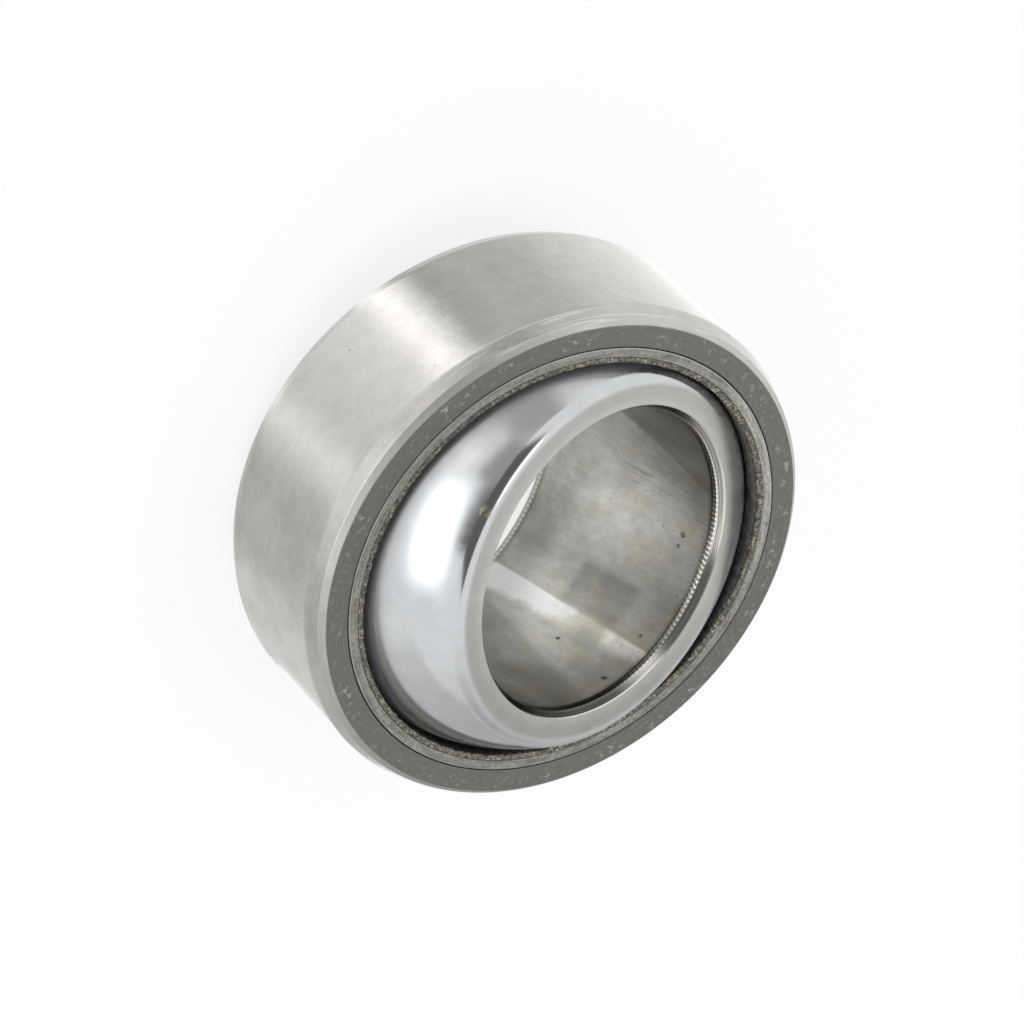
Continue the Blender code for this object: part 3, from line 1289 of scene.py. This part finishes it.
@dataclass(frozen=True)
class Panel:
    """A soft-edged lamp or card.

    It faces the bearing from a direction in degrees, at a distance in millimetres.
    """

    name: str
    use: Use
    azimuth: float
    elevation: float
    distance: float
    width: float
    height: float
    glow: float
    soft: float = 0.3
    tint: Colour = WHITE

    def build(self) -> None:
        """Builds the panel."""
        mesh = rectangle(self.name, self.width * MM / 2, self.height * MM / 2)
        light = soft_glow(self.name, self.width, self.height, self.soft, self.tint, self.glow)
        obj = staged(self.name, mesh, light, self.use)
        turn, rise = math.radians(self.azimuth), math.radians(self.elevation)
        out = Vector((math.cos(turn) * math.cos(rise), math.sin(turn) * math.cos(rise), math.sin(rise)))
        obj.location = out * self.distance * MM
        obj.rotation_euler = out.to_track_quat("Z", "Y").to_euler()


def striped_mesh(name: str, points: np.ndarray, turn: np.ndarray, out: np.ndarray) -> bpy.types.Mesh:
    """An open mesh over a grid of points, with its two grid shares as its UV map.

    Args:
        name: the mesh's name.
        points: the grid, with x, y and z along its last axis.
        turn: the share along the stripes' levels at each point.
        out: the share along the stripes themselves.

    Returns:
        The mesh.
    """
    index = np.arange(turn.size).reshape(turn.shape)
    quads = np.stack([index[:-1, :-1], index[:-1, 1:], index[1:, 1:], index[1:, :-1]], axis=-1)
    mesh = bpy.data.meshes.new(name)
    mesh.from_pydata(points.reshape(-1, 3).tolist(), [], quads.reshape(-1, 4).tolist())
    corners = np.empty(len(mesh.loops), dtype=np.int32)
    mesh.loops.foreach_get("vertex_index", corners)
    shares = np.stack([turn.ravel(), out.ravel()], axis=-1).astype(np.float32)
    mesh.uv_layers.new(name="UVMap").data.foreach_set("uv", shares[corners].ravel())
    return mesh


def striped_glow(name: str, stops: Stops, fades: bool) -> bpy.types.Material:
    """A glow that runs through given levels along the first UV direction.

    Args:
        name: the material's name.
        stops: pairs of an angle in degrees and the level there.
        fades: whether it fades out along the second UV direction, sooner at the stripes' far end.

    Returns:
        The material, which fades out at both ends of its levels.
    """
    g = Graph(name)
    along, across, _ = g.parts(g.node("TexCoord", {}, output="UV"))
    turn = g.node("MapRange", {"Value": along, "To Min": stops[0][0], "To Max": stops[-1][0]})
    shown = g.product(g.step(along, 0.0, 0.02), g.step(along, 1.0, 0.98))
    if fades:
        sooner = g.product(across, g.step(turn, 164.0, 182.0, 1.0, 2.0))
        shown = g.product(shown, g.step(sooner, 1.0, 0.6))
    return g.glow(shown, g.node("Emission", {"Strength": g.levels(turn, stops, top=4.0)}))


def directions(stops: Stops, share: np.ndarray) -> np.ndarray:
    """The angles, in radians, at shares of the way from the first stop to the last."""
    return np.radians(stops[0][0] + share * (stops[-1][0] - stops[0][0]))


@dataclass(frozen=True)
class TableCard:
    """A card on the table that gives the outside of the outer ring its light and dark stripes.

    Its lines run where the camera sees them mirrored in the ring. From a point of the cylinder with
    the outward normal n the sight line v comes back as 2 (n . v) n - v, and is followed down to the
    table. The glow along the card follows levels against the direction round the ring, in degrees.
    """

    name: str
    glow: Stops
    lowest: float = -7.0
    highest: float = 44.0
    columns: int = 97
    rows: int = 18

    def build(self, sizes: BearingSizes, lean: float, eye: Vector, level: float) -> None:
        """Lays the card.

        Args:
            sizes: the bearing's sizes.
            lean: the outer ring's lean about +Y, in radians.
            eye: the camera's place.
            level: the card's height, in metres.
        """
        turn, z = np.meshgrid(np.linspace(0.0, 1.0, self.columns), np.linspace(0.0, 1.0, self.rows))
        angle = directions(self.glow, turn)
        rise = self.lowest + z * (self.highest - self.lowest)
        cos, sin = math.cos(lean), math.sin(lean)
        x, y = sizes.outside * np.cos(angle), sizes.outside * np.sin(angle)
        start = np.stack([x * cos + rise * sin, y, rise * cos - x * sin], axis=-1) * MM
        normal = np.stack([np.cos(angle) * cos, np.sin(angle), -np.cos(angle) * sin], axis=-1)
        sight = np.array(eye.normalized())
        back = 2 * (normal @ sight)[..., None] * normal - sight
        points = start + back * ((level - start[..., 2:]) / back[..., 2:])
        mesh = striped_mesh(self.name, points, turn, z)
        staged(self.name, mesh, striped_glow(self.name, self.glow, fades=True), Use.CARD)


@dataclass(frozen=True)
class FanCard:
    """A card on the table behind the bearing, with a glow that follows the direction from its middle."""

    name: str
    glow: Stops
    inside: float = 3.0
    reach: float = 445.0
    columns: int = 61

    def build(self, level: float) -> None:
        """Lays the card: points (r cos a, r sin a) over its directions a and two radii r.

        Args:
            level: its height, in metres.
        """
        turn, out = np.meshgrid(np.linspace(0.0, 1.0, self.columns), np.array([0.0, 1.0]))
        angle = directions(self.glow, turn)
        radius = self.inside + out * (self.reach - self.inside)
        flat = np.stack([radius * np.cos(angle), radius * np.sin(angle)], axis=-1) * MM
        points = np.concatenate([flat, np.full((*turn.shape, 1), level)], axis=-1)
        mesh = striped_mesh(self.name, points, turn, out)
        staged(self.name, mesh, striped_glow(self.name, self.glow, fades=False), Use.CARD)


@dataclass
class Studio:
    """A white floor and surround, soft lamps, cards for the metal to reflect, and the camera."""

    sizes: BearingSizes
    lean: float
    floor_level: float
    floor_reach: float = 3000.0
    floor_colour: float = 0.34
    floor_glow: float = 0.78
    card_gap: float = 0.05
    surround: float = 0.55
    camera_place: Place = (-127.501, 182.754, 192.470)
    camera_turn: tuple[float, float, float] = (-32.2848, -39.2978, -10.1744)
    camera_lens: float = 221.484
    # Name, use, azimuth, elevation, distance, width, height, glow, softness of the edges, tint
    panels: tuple[Panel, ...] = (
        Panel("side_softbox", Use.LAMP, 152.0, 9.0, 250.0, 340.0, 128.0, 2.5, 0.74, (0.98, 0.99, 1.0)),
        Panel("softbox_wing", Use.CARD, 115.0, 3.0, 256.0, 140.0, 100.0, 1.45, 0.75, (1.0, 0.985, 0.94)),
        Panel("top_light", Use.LAMP, 8.0, 76.0, 420.0, 135.0, 135.0, 3.2, 0.5),
        Panel("front_card", Use.CARD, 126.0, 53.0, 460.0, 660.0, 676.0, 0.15, 0.3),
        Panel("gap_card", Use.CARD, 79.0, 7.0, 440.0, 320.0, 300.0, 0.48, 0.6),
        Panel("slope_card", Use.CARD, 106.0, 21.0, 445.0, 280.0, 130.0, 0.42, 0.55),
        Panel("far_card", Use.CARD, -92.0, 20.0, 420.0, 1100.0, 760.0, 0.52, 1.0),
    )
    # Directions from the bearing's middle, in degrees, and the glow there
    far_stripes: Stops = (
        (-176.0, 1.0), (-163.0, 1.0), (-150.0, 0.84), (-137.0, 0.72), (-125.0, 0.66), (-115.0, 0.60),
        (-100.0, 0.54), (-85.0, 0.52), (-50.0, 0.50), (-30.0, 0.6), (-12.0, 0.9))
    # Directions round the outer ring, in degrees, and the glow that is mirrored there
    stripes: Stops = (
        (24.0, 1.6), (30.0, 1.6), (35.0, 1.5), (40.0, 1.35), (45.0, 1.2), (50.0, 1.12), (60.0, 1.0),
        (70.0, 0.85), (76.0, 0.70), (90.0, 0.66), (97.0, 0.62), (101.0, 1.3), (105.0, 1.75), (110.0, 1.2),
        (116.0, 1.05), (122.0, 0.96), (130.0, 0.9), (136.0, 1.15), (140.0, 1.0), (145.0, 0.72),
        (155.0, 0.70), (165.0, 0.70), (172.0, 0.85), (185.0, 0.85), (194.0, 0.9), (201.0, 1.7),
        (206.0, 1.3), (211.0, 0.5), (218.0, 0.3))

    def build_world(self) -> None:
        """Builds a white surround that lights softly."""
        world = bpy.data.worlds.new("white_surround")
        world.use_nodes = True
        w = Wiring(world.node_tree)
        background = w.tree.nodes["Background"].inputs
        w.feed(background["Color"], WHITE)
        lit = w.node("MapRange", {"Value": w.seen(), "To Min": self.surround, "To Max": 1.0})
        w.feed(background["Strength"], lit)
        bpy.context.scene.world = world

    def build_floor(self) -> None:
        """Builds a plain white floor that keeps the bearing's shadow."""
        reach = self.floor_reach * MM
        mesh = rectangle("floor", reach, reach, self.floor_level)
        g = Graph("white_floor")
        paint = g.node("BsdfDiffuse", {"Color": (self.floor_colour,) * 3})
        glow = g.node("Emission", {"Strength": g.product(g.seen(), self.floor_glow)})
        mesh.materials.append(g.surface(g.node("AddShader", {0: paint, 1: glow})))
        floor = bpy.data.objects.new("floor", mesh)
        bpy.context.scene.collection.objects.link(floor)

    def build_camera(self) -> None:
        """Puts up the camera, where the photograph was taken from."""
        data = bpy.data.cameras.new("camera")
        data.sensor_width = 36.0
        data.lens = self.camera_lens
        data.clip_start, data.clip_end = 0.01, 20.0
        camera = bpy.data.objects.new("camera", data)
        camera.location = Vector(self.camera_place) * MM
        camera.rotation_euler = Euler([math.radians(a) for a in self.camera_turn])
        bpy.context.scene.collection.objects.link(camera)
        bpy.context.scene.camera = camera

    def build(self) -> None:
        """Builds all of it."""
        bpy.context.scene.view_settings.view_transform = "Standard"
        self.build_world()
        self.build_floor()
        self.build_camera()
        level = self.floor_level + self.card_gap * MM
        for panel in self.panels:
            panel.build()
            LOG.info("%s: %s", panel.name, panel.use.value)
        FanCard("far_table_card", self.far_stripes).build(level)
        card = TableCard("table_card", self.stripes)
        card.build(self.sizes, self.lean, Vector(self.camera_place), level + self.card_gap * MM)
        LOG.info("table cards: %s", Use.CARD.value)


def main() -> None:
    """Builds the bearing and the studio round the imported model."""
    logging.basicConfig(level=logging.INFO, format="%(message)s")
    OuterAssembly(SIZES, lean_of("housing_shoulder_top")).build()
    InnerRing(SIZES, lean_of("shaft_shoulder_top")).build()
    Studio(SIZES, lean_of("housing_shoulder_top"), CAD_BOX[0].z).build()


if __name__ == "__main__":
    main()
